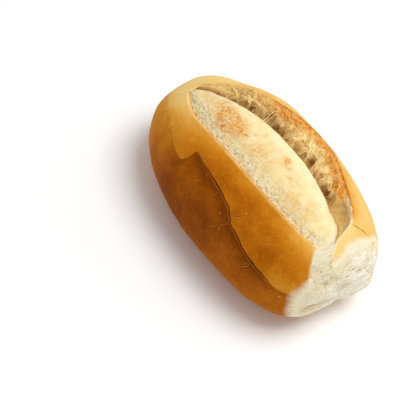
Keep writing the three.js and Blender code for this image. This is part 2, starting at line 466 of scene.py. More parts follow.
def grid_normals(points, u, v):
    """Outward normals of a grid's points, from the ways to their neighbours."""
    order = np.lexsort((np.round(u, 5), np.round(v, 5)))
    columns = len(np.unique(np.round(u, 5)))
    lattice = points[order].reshape(-1, columns, 3)
    normals = np.cross(np.gradient(lattice, axis=1), np.gradient(lattice, axis=0)).reshape(-1, 3)
    normals /= np.maximum(np.linalg.norm(normals, axis=1, keepdims=True), 1e-9)
    away = (points[order] - [0, 0, WAIST]) * normals
    normals *= np.sign(away.sum())
    out = np.empty_like(points)
    out[order] = normals
    return out


CORE_HEIGHT = 15  # mm above the table, where closed patches are gathered


def close_under(piece, depth):
    """Closes an open patch: its rim is drawn depth mm into the loaf, then gathered at its core."""
    only(piece)
    bpy.ops.object.mode_set(mode="EDIT")
    bpy.ops.mesh.select_mode(type="VERT")
    bpy.ops.mesh.select_all(action="DESELECT")
    bpy.ops.mesh.select_non_manifold()
    bpy.ops.mesh.extrude_region_move()
    bpy.ops.object.mode_set(mode="OBJECT")
    points = read_points(piece) / MM
    rim = np.array([v.select for v in piece.data.vertices])
    way = points[rim] * [0.6, 0, 0] + [0, 0, WAIST - BASE_CUT] - points[rim]
    points[rim] += way / np.linalg.norm(way, axis=1, keepdims=True) * depth
    write_points(piece, points)
    bpy.ops.object.mode_set(mode="EDIT")
    bpy.ops.mesh.extrude_region_move()
    bpy.ops.mesh.merge(type="CENTER")
    bpy.ops.object.mode_set(mode="OBJECT")
    points = read_points(piece) / MM
    heart = np.array([v.select for v in piece.data.vertices])
    points[heart] = points[heart] * [0.5, 0, 0] + [0, 0, CORE_HEIGHT]
    write_points(piece, points)
    bpy.ops.object.mode_set(mode="EDIT")
    bpy.ops.mesh.select_all(action="SELECT")
    bpy.ops.mesh.normals_make_consistent(inside=False)
    bpy.ops.object.mode_set(mode="OBJECT")


def finish_piece(piece, finish):
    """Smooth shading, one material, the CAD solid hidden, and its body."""
    only(piece)
    bpy.ops.object.shade_smooth()
    piece.data.materials.clear()
    piece.data.materials.append(finish)
    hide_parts("bread_roll")
    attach(piece, "root")
    triangles = sum(len(face.vertices) - 2 for face in piece.data.polygons)
    print(piece.name, "has", triangles, "triangles")


# %% [markdown]
# ## The crust
#
# The crust is the smooth, thin skin that browns. A sphere is the right start, because it is closed
# and has its poles at the two ends. Its columns are spread to stand close on the flanks that show
# and far apart in the slash and on the base, which other pieces or the table hide.

# %% Lay a sphere on the loaf
CRUST_ROWS = 236
SLOT_MARGIN = 1.4  # mm, width of the crust's cut edge on either side of the slash
WIDEST_MARGIN = 0.3  # of the slash's width, where the slash is narrow


def slot_margin(latitude, line):
    """Degrees from a line of the slash to where the crust's cut edge ends."""
    width = ear(latitude) - left_lip(latitude)
    return np.minimum(degrees_for(SLOT_MARGIN, latitude, line(latitude)), WIDEST_MARGIN * width)


def inside_lip(latitude):
    return left_lip(latitude) + slot_margin(latitude, left_lip)


def inside_ear(latitude):
    return ear(latitude) - slot_margin(latitude, ear)


def steady(angle):
    return lambda latitude: np.full(len(latitude), float(angle))


CRUST_COLUMNS = [
    (0, steady(-180)), (14, steady(-114)), (92, left_lip), (6, inside_lip), (12, inside_ear),
    (4, ear), (62, steady(112)), (14, steady(180)),
]
segments = sum(count for count, _ in CRUST_COLUMNS)
bpy.ops.object.select_all(action="DESELECT")
bpy.ops.mesh.primitive_uv_sphere_add(segments=segments, ring_count=CRUST_ROWS, radius=1)
crust = named("crust")
ball = read_points(crust)
rows = 0.5 + np.arcsin(np.clip(ball[:, 2], -1, 1)) / math.pi
turns = np.mod(-np.arctan2(ball[:, 1], ball[:, 0]) / (2 * math.pi) + 1e-6, 1)
latitude = even_rows(rows, -90, 90)
angle = between(latitude, turns, CRUST_COLUMNS)
store(crust, "latitude", latitude)
store(crust, "angle", angle)
write_points(crust, lay(latitude, angle))
print("crust grid:", CRUST_ROWS, "rows of", segments, "columns")

# %% [markdown]
# A crack is half a millimetre wide, finer than this grid. The faces near the cracks and along the
# torn edge are selected by their distance and subdivided, up to three times beside the dark ones,
# as a sculptor adds clay only where detail goes. New vertices get their address from their
# neighbours, and are laid on the skin again.


# %% Refine along the cracks and the torn edge
def refine(piece, crack_reach, edge_reach, darkest):
    """Splits the faces near cracks of at least that darkness and near the torn edge."""
    distance, number = nearest_crack(read_points(piece) / MM)
    latitude, angle = recall(piece, "latitude"), recall(piece, "angle")
    torn = (np.abs(past_edge(latitude, angle) - 0.4) < edge_reach) & (latitude > 0)
    near = (distance < crack_reach) & (crack_facts[number, 4] >= darkest)
    near |= torn & (angle > -120) & (angle < 70)
    only(piece)
    bpy.ops.object.mode_set(mode="EDIT")
    bpy.ops.mesh.select_mode(type="FACE")
    bpy.ops.mesh.select_all(action="DESELECT")
    bpy.ops.object.mode_set(mode="OBJECT")
    for face in piece.data.polygons:
        face.select = any(near[v] for v in face.vertices)
    bpy.ops.object.mode_set(mode="EDIT")
    bpy.ops.mesh.subdivide(number_cuts=1)
    bpy.ops.object.mode_set(mode="OBJECT")
    write_points(piece, lay(recall(piece, "latitude"), recall(piece, "angle")))


ROUNDS = [
    # mm from a crack, mm from the torn edge, darkness from which a crack counts
    (1.1, 1.4, 0), (0.55, 0.6, 0), (0.3, 0, 0.3),
]
for crack_reach, edge_reach, darkest in ROUNDS:
    refine(crust, crack_reach, edge_reach, darkest)
    print("vertices after refining within", crack_reach, "mm:", len(crust.data.vertices))

# %% [markdown]
# The relief follows the real crust: a rim that curls up along the slash before it drops to the
# crumb, the plate that lifts along the main crack, the ear's back, and each crack as a groove
# between two raised lips. Under the crumb pieces the crust sinks out of their way.


# %% Relief of the crust
PLATE_REACH = 13  # mm from the seam, over which a plate of crust lifts
TIP_DEPTH, SLOT_DEPTH = 2, 8  # mm the crust sinks under the crumb, everywhere and past the tip


def crust_lift(latitude, angle):
    """The crust's height over the plain skin."""
    per_degree = millimetres_per_degree(latitude, angle)
    from_lip = (angle - left_lip(latitude)) * per_degree
    from_ear = (angle - ear(latitude)) * per_degree
    open_here = slash_open(latitude)
    from_seam = (angle - seam_angle(plain_skin(latitude, angle)[:, 0])) * per_degree
    plate = plate_rise(latitude) * np.clip(1 - np.abs(from_seam) / PLATE_REACH, 0, 1)
    rim = 0.3 * open_here * bell(from_lip, 0, 1.7)
    back = ear_rise(latitude) * np.exp(-1.6 * (np.maximum(from_ear, 0) / 10) ** 2)
    left_side = angle < crevice(latitude)
    crumb = np.where(left_side, dome_lift(latitude, angle), wall_lift(latitude, angle))
    crumb = crumb - open_here * (SLOT_DEPTH * smoothstep(latitude, -50, -30) + TIP_DEPTH)
    inside = np.where(left_side, smoothstep(from_lip, 0.0, 0.9), smoothstep(-from_ear, -0.1, 1.1))
    skin = np.where(left_side, plate + rim, back)
    return skin * (1 - inside * open_here) + crumb * inside * open_here


def sink_past_edge(latitude, angle):
    """The crust thins away under the torn ends, later where its edge is soft."""
    past, crisp = past_edge(latitude, angle), edge_softness(latitude, angle)[1]
    curl = 0.3 * crisp * bell(past, -0.5, 1.1)
    late = 0.2 + 1.6 * (1 - crisp)
    return curl * (past < 0.3) - 2.2 * smoothstep(past, late, late + 1.2)


latitude, angle = recall(crust, "latitude"), recall(crust, "angle")
skin_mm = plain_skin(latitude, angle)
distance, number = nearest_crack(read_points(crust) / MM)
fact_angle, width, depth, lip, dark = crack_facts[number].T
groove = bell(distance, 0, width)
beside = (width + 0.3) * smoothstep(dark, 0.12, 0.5)
ridge = bell(distance, beside, 0.27)
upper = smoothstep((angle - fact_angle) * millimetres_per_degree(latitude, angle), -0.3, 0.3)
lift = crust_lift(latitude, angle) + sink_past_edge(latitude, angle)
lift += 0.16 * lumps(skin_mm, 8, 21) + 0.05 * lumps(skin_mm, 2.4, 22)
lift += lip * ridge * (1.1 - 0.5 * upper) - depth * groove
write_points(crust, lay(latitude, angle, lift))
print("deepest crack in mm:", float((depth * groove).max().round(2)))

# %% [markdown]
# Browning follows heat. The left flank faced the oven's wall and is deep orange-brown, darkest just
# under the main crack, while the top of the far end and the back of the ear stay golden. The plates
# on either side of a seam differ in tone. These tones are stored on the vertices as one number,
# from 0, cream, to 1, dark brown, and others mark the crust's cut rim, the cracks and the pale end.

# %% Tones of the crust
LEFT_TONE, RIGHT_TONE, FAR_TONE, BASE_TONE = 0.72, 0.37, 0.17, 0.5
LEFT_SPOTS = [
    # (mm along, degrees), reach, how much darker (or paler, below 0)
    ((8, -44), (24, 10), 0.07), ((38, -56), (13, 9), 0.08), ((-10, -98), (28, 20), 0.2),
    ((6, -78), (12, 12), 0.1), ((-42, -34), (22, 24), -0.3), ((48, -22), (10, 14), -0.24),
    ((55, -74), (9, 18), -0.18), ((-54, -70), (16, 40), -0.16),
]
RIGHT_SPOTS = [((44, 22), (7, 5), 0.1)]


def browning(x, latitude, angle):
    """The crust's tone, from 0, cream, to 1, dark brown."""
    below = np.maximum(seam_angle(x) - angle, 0)
    near_part = smoothstep(x, -34, -8)
    left = LEFT_TONE + spots(x, angle, LEFT_SPOTS) - 0.1 * smoothstep(-angle, 115, 140)
    left += 0.3 * (below > 0) * np.exp(-below / 19) * near_part
    left += 0.07 * (below > 0) * np.exp(-below / 30) * (1 - near_part)
    top, tip = ear(latitude), smoothstep(latitude, 30, 45)
    right = RIGHT_TONE + 0.17 * smoothstep(angle, 70, 125) + spots(x, angle, RIGHT_SPOTS)
    beside_ear = 0.14 * bell(angle, top, 9) + 0.3 * bell(angle, top, 1.6) * smoothstep(x, -20, 0)
    right += beside_ear * slash_open(latitude) * fades(x, 40, 50)
    right -= 0.1 * tip * fades(angle, 0, 40)
    start = -30 * (1 - tip) + (left_lip(latitude) - 1) * tip
    end = np.maximum(12 * (1 - tip) + (top - 1) * tip, start + 4)
    side = smoothstep(angle, start, end)
    far = smoothstep(-x, 38, 52) * smoothstep(angle, -60, -20)
    tone = left * (1 - side) + right * side
    tone = tone * (1 - far) + FAR_TONE * far
    return np.where(angle > 125, BASE_TONE, tone)


x = skin_mm[:, 0]
tone = browning(x, latitude, angle)
tone += 0.04 * lumps(skin_mm, 14, 31) + 0.02 * lumps(skin_mm, 5, 32)
per_degree = millimetres_per_degree(latitude, angle)
from_lip = np.maximum((left_lip(latitude) - angle) * per_degree, 0)
tone -= 0.12 * bell(from_lip, 0, 5) * slash_open(latitude)
rim = bell(from_lip, 0, 0.65) * (angle < left_lip(latitude) + 6)
rim *= np.clip(0.85 + 0.5 * lumps(skin_mm, 3, 35), 0.3, 1.1)
ear_rim = bell((angle - ear(latitude)) * per_degree, 0.4, 0.8) * fades(latitude, -20, -4)
rim = np.maximum(rim, 1.2 * ear_rim) * slash_open(latitude + 1.5)
past, soft = past_edge(latitude, angle), edge_softness(latitude, angle)[0]
wander = 0.7 * lumps(skin_mm, 5, 33) + 0.2 * lumps(skin_mm, 1.5, 34)
pale = smoothstep(past + wander * np.minimum(soft, 1), -soft * 1.3, soft * 0.9)
store(crust, "tone", np.clip(tone, 0, 1))
store(crust, "rim", rim)
store(crust, "pale", pale)
# Painted shade in the groove of each crack, as strong as its darkness.
store(crust, "crack", np.clip(dark * bell(distance, 0, width * 1.6), 0, 1))
# Painted highlight on the raised lips of cracks and on seams, stronger on the side below a crack.
lip_highlight = 4.6 * lip * (1.15 - 0.75 * upper) * bell(distance, beside, 0.3)
store(crust, "lip", np.clip(lip_highlight, 0, 1))
print("tones from", tone.min().round(2), "to", tone.max().round(2))

# %% [markdown]
# ## Risen crumb in the slash
#
# Dough that burst out of the cut has no crust of its own. It rose as a smooth, floury dome, with
# fine blisters, open pores beside the left lip and toasted patches on its crown. At the near end it
# runs into torn crumb: layers that lie across the end, with ragged ledges between them. Ridged
# noise, stretched along the layers, gives their sharp crests. The dome and the torn end take the
# same noise, so that one goes over into the other without a step.


# %% Relief of torn crumb
def crests(points, size, seed):
    """Sharp crests with rounded valleys between them, from 0 to 1."""
    return 1 - np.abs(np.clip(lumps(points, size, seed), -1, 1))


def torn_relief(points, seed):
    """Height of torn crumb in mm, above and below 0."""
    layered = points * [1, 0.26, 1] + [0, 0, -0.3] * points[:, [1]]
    big = 0.7 * lumps(points, 9, seed) + 0.5 * lumps(layered, 5, seed + 1)
    ledges = 0.6 * crests(layered, 3.0, seed + 2) + 0.34 * crests(layered, 1.3, seed + 3)
    crumbs = 0.16 * lumps(points * [1, 0.5, 1], 0.8, seed + 4)
    return big + ledges + crumbs - 0.55


def slash_corner(points):
    """1 where the slash runs out into the near end, 0 away from there."""
    return bell(points[:, 1], -11, 9) * bell(points[:, 2], 44, 11)


NEAR_SEED, FAR_SEED = 71, 91

# %% [markdown]
# The dome is laid as a fine grid from under the left lip to the bottom of the crevice. Where the
# slash closes at the near end, it reaches over to the ear's crust.

# %% The dome
DOME_GRID = (310, 96)
DOME_START, DOME_END = -50.4, 70  # latitudes
dome, along, across = add_grid("crumb_dome", *DOME_GRID)
latitude = even_rows(along, DOME_START, DOME_END, -10)
start = left_lip(latitude) - degrees_for(1.0, latitude, left_lip(latitude))
end = crevice(latitude) + degrees_for(1.0, latitude, crevice(latitude))
joined = smoothstep(latitude, 50, 55)
end += joined * (ear(latitude) - crevice(latitude) + 0.5)
angle = start + (end - start) * across
skin_mm = plain_skin(latitude, angle)
x = skin_mm[:, 0]
per_degree = millimetres_per_degree(latitude, angle)
from_lip = (angle - left_lip(latitude)) * per_degree
from_crevice = (crevice(latitude) - angle) * per_degree
print("dome spacing in mm:", (np.ptp(x) / DOME_GRID[0]).round(2))


# %% [markdown]
# Pores are little round pits. Blender's Voronoi noise gives the distance to scattered points, and
# a pit is dug wherever the skin passes close to one of them. Round its border the dome sinks under
# its neighbours.


# %% Pits by scattered points
def pits(points, spacing, radius, seed):
    """1 at the middle of scattered pits of about that radius in mm, 0 between them."""
    at = (np.asarray(points) / spacing + seed * 3.17).tolist()
    near = np.array([noise.voronoi(p)[0][0] for p in at]) * spacing
    return 1 - smoothstep(near, 0.2 * radius, radius)


torn_here = smoothstep(x + 1.5 * lumps(skin_mm, 5, 48), 46, 54)
porous = 1.1 * bell(np.maximum(from_lip, 0), 0, 5.5) * (1 - torn_here)
porous = np.clip(porous + 0.4 * lumps(skin_mm, 6, 41), 0.12, 1)
floury = 0.20 * lumps(skin_mm, 4.5, 42) + 0.10 * lumps(skin_mm, 1.6, 43, octaves=3)
blisters = 0.16 * np.maximum(lumps(skin_mm, 2.6, 44), 0) * smoothstep(from_crevice, 1, 6)
holes = np.maximum(pits(skin_mm, 2.0, 0.8, 45), pits(skin_mm, 1.1, 0.45, 47))
ledge = torn_relief(skin_mm, NEAR_SEED)
lift = dome_lift(latitude, angle) + 0.1
lift += (floury + blisters) * (1 - torn_here) + 0.8 * ledge * torn_here
lift -= porous * (0.55 * holes + 0.22 * np.maximum(lumps(skin_mm, 1.1, 46), 0))
lift -= 2.4 * fades(from_lip, -1.0, 0.45) * slash_open(latitude)
lift -= 2.0 * fades(from_crevice, -1.0, 1.4) * (1 - joined)
lift -= 2.0 * fades(latitude, -50, -47.4) + 2.2 * smoothstep(latitude, 59, 69)
write_points(dome, lay(latitude, angle, lift))

# %% [markdown]
# The crown of the dome toasted in blurred patches where it stood nearest the heat, and one small
# brown mark sits near its middle. The pores beside the lip look greyer, and the side that faces the
# crevice stays clean and cream.

# %% Tones of the dome
TOASTED = [
    # (mm along, degrees), reach, strength: patches
    ((-20, -15.5), (7, 8), 0.62), ((-28, -11), (6, 7), 0.5), ((-12, -14), (6, 7), 0.5),
    ((-17, -21), (6, 4), 0.45), ((-15, 2), (6, 4), 0.3), ((-37, -14), (4, 6), 0.3),
    ((1, -14.5), (4.5, 6), 0.55), ((9, -16), (5, 6), 0.25), ((25.5, -19), (5, 4), 0.35),
    ((33, -16), (6, 6), 0.4),
    # a small patch with a row of spots, and a brown mark with a trail of spots
    ((-8.5, -15.6), (2.4, 2.6), 0.8), ((-7.2, -12.7), (1, 1.4), 0.6), ((-5.5, -8.8), (1, 1.4), 0.5),
    ((-3.5, -3.5), (1, 1.6), 0.6), ((12, -3), (1.5, 1.9), 1.5), ((12.6, -3.4), (3, 3), 0.5),
    ((15.4, -5.3), (2.2, 1.6), 0.45), ((19.3, -8.8), (2, 1.8), 0.4),
]
RING_AT, RING_SIZE = (-20, -15.8), (5.2, 6.8)  # (mm along, degrees), a ring round the large patch
toast = spots(x, angle, TOASTED)
ring = np.hypot((x - RING_AT[0]) / RING_SIZE[0], (angle - RING_AT[1]) / RING_SIZE[1])
toast += 0.3 * bell(ring + 0.15 * lumps(skin_mm, 3, 54), 1, 0.35)
mottle = 0.8 + 0.45 * lumps(skin_mm, 3.2, 51) + 0.35 * lumps(skin_mm, 1.1, 52)
store(dome, "toast", np.clip(toast * np.clip(mottle, 0.1, 1.3), 0, 1))
grey = porous * (0.5 + 0.5 * lumps(skin_mm, 2.2, 53) + 0.6 * holes)
store(dome, "pore", np.clip(grey, 0, 1))
shade = smoothstep(-from_crevice, -4.0, 0.0) * slash_open(latitude)
store(dome, "shade", shade * (1 - 0.35 * smoothstep(x, 32, 42)) * (1 - joined))
share = (angle - left_lip(latitude)) / np.maximum(crevice(latitude) - left_lip(latitude), 1)
clean = smoothstep(share + 0.12 * lumps(skin_mm, 5, 55), 0.4, 0.7)
store(dome, "clean", clean * smoothstep(x, -40, -20))
store(dome, "white", torn_here)
store(dome, "cream", slash_corner(skin_mm))
store(dome, "ledge", np.clip(0.5 + 0.5 * ledge, 0, 1))
close_under(dome, 3)

# %% [markdown]
# ## The torn wall under the ear
#
# When the ear lifted, it pulled the crumb apart. The wall shows stretched gas cells, two to four
# millimetres across, with thin membranes between them. The distance between the nearest and the
# second nearest of scattered points is small on a membrane and large inside a cell, so it digs
# honeycomb, and each cell gets its own depth. Above the cells, a crinkled rope of toasted crust
# runs along the edge of the ear.

# %% The wall
WALL_GRID = (560, 120)
WALL_START, WALL_END = -49.2, 58.5  # latitudes
wall, along, across = add_grid("torn_wall", *WALL_GRID)
latitude = even_rows(along, WALL_START, WALL_END, 20)
start = crevice(latitude) - degrees_for(1.2, latitude, crevice(latitude))
end = ear(latitude) + degrees_for(0.9, latitude, ear(latitude))
angle = start + (end - start) * across
skin_mm = plain_skin(latitude, angle)
x = skin_mm[:, 0]
per_degree = millimetres_per_degree(latitude, angle)
up_wall = (angle - crevice(latitude)) * per_degree
below_ear = (ear(latitude) - angle) * per_degree
height = np.clip(up_wall / np.maximum(up_wall + below_ear, 0.5), 0, 1)


def cells(flat, size, seed):
    """Distance in mm to the nearest membrane between cells of that size, and each cell's share."""
    found = [noise.voronoi(p) for p in (flat / size + seed * 5.3).tolist()]
    nearest, second = (np.array([f[0][i] for f in found]) for i in (0, 1))
    apart = np.array([(f[1][0] - f[1][1]).length for f in found])
    share = np.array([0.6 + 0.9 * noise.noise(f[1][0] * 3.7) for f in found])
    return (second**2 - nearest**2) / (2 * apart) * size, np.clip(share, 0.15, 1)


def kept(size, seed, low=-0.2, high=0.3):
    """How much of a membrane is left, from 0 where it burst to 1."""
    return smoothstep(lumps(skin_mm, size, seed), low, high)


flat = np.stack([x + 0.3 * up_wall, 1.15 * up_wall, 0 * x], -1)
for push, size, seed_along, seed_up in ((1.1, 4.3, 61, 62), (0.35, 1.5, 64, 76)):
    pushes = [lumps(skin_mm, size, seed_along), lumps(skin_mm, size, seed_up), 0 * x]
    flat += push * np.stack(pushes, -1)
SIZES = [
    # cell size in mm, half a membrane's width, how far its sides reach, depth, membranes kept
    (4.4, 0.2, 1.3, 1.6, kept(3.6, 74, -0.45, 0.1)),
    (2.3, 0.12, 0.7, 0.6, 0.75 * kept(2.4, 77, -0.2, 0.35)),
    (1.2, 0.08, 0.4, 0.16, 0.5 * kept(2.0, 78, -0.1, 0.5)),
]
pocket, membrane = np.zeros(len(x)), np.zeros(len(x))
for number, (size, half, reach, depth, left) in enumerate(SIZES):
    distance, share = cells(flat, size, 63 + number)
    inside = 1 - fades(distance, half, reach) * (0.25 + 0.75 * left)
    pocket += depth * share * inside
    membrane = np.maximum(membrane, left * fades(distance, half, half + 0.3))
fibre = fades(np.abs(lumps(flat * [1, 0.6, 1], 3.4, 79)), 0.02, 0.09)
membrane = np.maximum(membrane, 0.8 * fibre * kept(3.0, 80))
torn = smoothstep(x, -46, -30) * (1 - 0.92 * smoothstep(x, 31, 40))  # smooth at both ends
inside_wall = smoothstep(below_ear, 1.4, 4.2)
DEEP_HOLLOW = (11.2, 25.3), (2.0, 2.6)  # (mm along, degrees), reach
HOLLOWS = [
    # (mm along, degrees), reach, extra depth in mm
    (*DEEP_HOLLOW, 2.4), ((-8, 19), (3, 3), 0.8), ((29, 18), (2.5, 3), 1.2),
]
pocket += spots(x, angle, HOLLOWS)
print("deepest cell in mm:", float((torn * pocket * inside_wall).max().round(2)))

# %% [markdown]
# Along the ear's edge the crumb toasted into a crinkled orange band of tiny cells. Towards the near
# end it frays to pale crumbs, and at the far tip it is smooth. All this relief stands on the wall's
# own normals, because the wall is steep, and cells dug straight down would be stretched.

# %% The ear's band, and the wall laid down
edge_open = slash_open(latitude) * smoothstep(up_wall + below_ear, 0.8, 5)
band = fades(below_ear + 0.8 * lumps(skin_mm, 4.5, 67), 2.2, 4.4)
tiny, tiny_share = cells(flat * [0.75, 1, 1] + [0, 3, 0], 1.7, 68)
crinkle = 0.6 * fades(tiny, 0.05, 0.5) - 0.5 * tiny_share + 0.35 * lumps(skin_mm, 2.6, 69)
thin = 0.55 - 0.2 * smoothstep(x, 42, 48)
frayed = smoothstep(x, 34, 38) * bell(below_ear, 0.9, thin)
flakes = fades(np.abs(lumps(skin_mm, 1.6, 70)), 0.0, 0.35)
clinging = smoothstep(x, 36, 40) * fades(x, 46, 49) * fades(below_ear, 1.2, 2.4)
clinging *= pits(skin_mm, 2.3, 1.0, 83) * smoothstep(below_ear, -0.2, 0.6)
relief = edge_open * band * torn * crinkle * smoothstep(below_ear, -0.2, 0.5)
relief += edge_open * frayed * (0.1 + 0.5 * flakes + 0.3 * lumps(skin_mm, 0.7, 81))
relief += edge_open * 0.8 * clinging
relief += torn * inside_wall * (0.7 * lumps(skin_mm, 7, 66) + 0.22 * fibre * kept(3.0, 80))
relief -= torn * pocket * inside_wall
lift = wall_lift(latitude, angle) + 0.5 - 1.6 * fades(up_wall, -1.2, 0.2)
lift -= 1.9 * fades(below_ear, -0.9, 0.15) + 2.2 * fades(latitude, -49, -46.6)
points = lay(latitude, angle, lift)
write_points(wall, points + grid_normals(points, along, across) * relief[:, None])

# %% [markdown]
# The wall's colour carries painted shade: it is darker at the bottom of the crevice, between its
# cells and in its one deep hollow, and its smooth near part takes painted shade from the ear.

# %% Tones of the wall
pale_end = smoothstep(x + 1.5 * lumps(skin_mm, 4, 71), 50, 56)
pale_end = np.maximum(pale_end, smoothstep(x, 43, 47) * fades(below_ear, 0.9, 1.8))
# pocket darkens each cell with painted shade, more in the deeper cells.
store(wall, "pocket", np.clip(torn * pocket / 2.4, 0, 1) * inside_wall)
store(wall, "membrane", membrane * torn * (1 + 0.25 * fades(x, -28, -8)))
# Painted shade at the bottom of the crevice reaches up to this share of the wall's height.
crevice_shade_top = 0.45 + 0.22 * smoothstep(x, -38, -30) * fades(x, -14, -2)
low = smoothstep(height + 0.12 * lumps(skin_mm, 3.4, 73), crevice_shade_top - 0.35, crevice_shade_top)
depth = (1 - low) * fades(x, 28, 38)
near_shade = smoothstep(x, 30, 40) * (0.4 + 0.6 * smoothstep(height, 0.05, 0.7))
near_shade *= fades(x, 52, 57)
depth += 0.85 * near_shade * (1 + 0.25 * lumps(skin_mm, 3, 84))
# Painted shade just under the ear's edge on the far part.
depth += 0.35 * fades(x, -30, -14) * bell(below_ear, 1.6, 1.1)
# depth is painted shade; the deep hollow gets its own spot of it.
store(wall, "depth", np.maximum(depth, spots(x, angle, [(*DEEP_HOLLOW, 1.1)])))
toast = band * smoothstep(x, -34, -12) * fades(x, 33, 39)
store(wall, "toast", np.clip(toast * (1 + 0.3 * lumps(skin_mm, 1.9, 72)), 0, 1))
store(wall, "edge", bell(below_ear, 0, 0.65) * smoothstep(x, -34, -16) * fades(x, 36, 42))
store(wall, "tiny", toast * smoothstep(tiny, 0.1, 0.55))
crumbs = np.clip(frayed * (0.45 + 0.6 * flakes) + 0.8 * clinging, 0, 1)
store(wall, "white", np.maximum(pale_end, crumbs))
close_under(wall, 2.5)

# %% [markdown]
# ## The torn ends
#
# The near end is pure torn crumb, with a few holes darkened with painted shade. A square grid is
# rounded to a disc and laid over the end, because a grid that runs to a pole would pinch in the
# middle of what shows. Low down the tear is hollow, with two bulges on the ear's side. Beside the
# slash the disc dips under the dome and comes up bit by bit towards the end.


# %% Discs of torn crumb
def disc(shares_u, shares_v):
    """A square's shares as (distance from the middle, 0 to 1, and angle) on a disc."""
    u, v = shares_u * 2 - 1, shares_v * 2 - 1
    a, b = u * np.sqrt(1 - v * v / 2), v * np.sqrt(1 - u * u / 2)
    return np.hypot(a, b), np.degrees(np.arctan2(b, a))


OVERLAP = 3  # mm that a torn end reaches under the crust
TORN_HOLES = [
    # on the near end: (mm along, degrees), reach in mm, strength
    ((62.3, -36.3), 1.1, 0.8), ((62.9, -88.3), 0.9, 1.3), ((61.5, -24), 0.7, 0.5),
    ((62.6, 40), 0.8, 0.5),
]
HOLLOW_PARTS = [
    # (y, z), reach, depth, all in mm: one hollow, and two bulges in it
    ((0, 12), (20, 12), 2.4), ((20, 20), (6, 7), -2.2), ((12, 12), (6, 6), -1.4),
]


def torn_end(name, side, grid, seed):
    """Torn crumb on the near (1) or far (-1) end of the roll."""
    piece, u, v = add_grid(name, grid, grid)
    radius, angle = disc(u, v)
    across = NEAR_ACROSS if side > 0 else FAR_ACROSS
    rim = near_edge(angle) if side > 0 else far_edge(angle)
    radius *= np.cos(np.radians(latitude_of(rim - OVERLAP))) ** across
    latitude = side * np.degrees(np.arccos(radius ** (1 / across)))
    skin = plain_skin(latitude, angle)
    past, crisp = past_edge(latitude, angle), edge_softness(latitude, angle)[1]
    inset = past - 1.3 * (1 - crisp) + 0.5 * lumps(skin, 3, seed + 8)
    body = smoothstep(inset, 0.0, 3.5)
    ledge = torn_relief(skin, seed)
    holes = pits(skin * [1, 0.6, 1], 4.6, 1.0, seed + 9) + 0.5 * pits(skin, 2.3, 0.6, seed + 10)
    hollow = spots(skin[:, 1], skin[:, 2], HOLLOW_PARTS)
    lift = -0.25 * crisp - 2.6 * fades(inset, -1.1, 0.35) - hollow * body
    if side > 0:
        under_dome = smoothstep(angle, left_lip(latitude) - 3, left_lip(latitude))
        under_dome *= fades(angle, ear(latitude) - 1, ear(latitude) + 2)
        lift -= 1.5 * under_dome * fades(latitude, 53, 63)
        for at, reach, strength in TORN_HOLES:
            place = plain_skin(latitude_of(np.array([at[0]])), np.array([at[1]]))
            holes += strength * bell(np.linalg.norm(skin - place, axis=1), 0, reach)
    points = lay(latitude, angle, lift)
    points += grid_normals(points, u, v) * (body * (ledge - 0.7 * holes))[:, None]
    points[:, 2] = np.maximum(points[:, 2], 0)
    write_points(piece, points)
    store(piece, "ledge", np.clip(0.5 + 0.5 * ledge, 0, 1))
    # Painted shade in the holes of the torn crumb.
    store(piece, "hole_shade", np.clip(holes, 0, 1))
    store(piece, "edge", fades(inset, 0.5, 5))
    store(piece, "cream", slash_corner(skin) * (side > 0))
    close_under(piece, 3)
    return piece


near_end = torn_end("torn_end_near", 1, 200, NEAR_SEED)
far_end = torn_end("torn_end_far", -1, 110, FAR_SEED)

# %% [markdown]
# ## Threads
#
# Where the dome parted from the ear, thin strands of crumb still bridge the crevice. A strand is a
# curve with a round bevel, thick at its ends and thin between them, like stretched dough. Both ends
# start inside the crumb, so none hangs free. Blender's noise vectors take their seed from the clock
# unless they are given one, so a fixed seed makes the strands the same in each run.


# %% Strands of crumb
def place_on(x, angle, sink):
    """A point in mm on the dome or the wall, sunk into it."""
    latitude, angle = latitude_of(np.array([x], float)), np.array([angle], float)
    on_dome = angle < crevice(latitude)
    surface = np.where(on_dome, dome_lift(latitude, angle), wall_lift(latitude, angle))
    return lay(latitude, angle, surface - sink)[0]


STRAND_STEPS = 12
SHAKE_SEED = 1795548031
SUNK_IN_DOME, SUNK_IN_WALL = 0.5, 1.2  # mm


def strand(start, end, thickness, bow):
    """A bowed thread between two addresses (mm along, degrees), thickness and bow in mm."""
    shape = bpy.data.curves.new("strand", "CURVE")
    shape.dimensions = "3D"
    shape.bevel_depth = 1 * MM
    shape.bevel_resolution = 1
    shape.use_fill_caps = True
    line = shape.splines.new("POLY")
    line.points.add(STRAND_STEPS - 1)
    first, last = place_on(*start, SUNK_IN_DOME), place_on(*end, SUNK_IN_WALL)
    for i, point in enumerate(line.points):
        t = i / (STRAND_STEPS - 1)
        arch = math.sin(math.pi * t)
        shake = noise.noise_vector((start[0] * 1.7, end[1], t * 2.6))
        place = first + (last - first) * t + np.array([0, 0, bow * arch])
        place = place + np.array(shake) * 0.9 * arch
        point.co = (*(place * MM), 1)
        point.radius = thickness * (1 - 0.62 * arch)
    piece = bpy.data.objects.new("strand", shape)
    bpy.context.collection.objects.link(piece)
    return piece


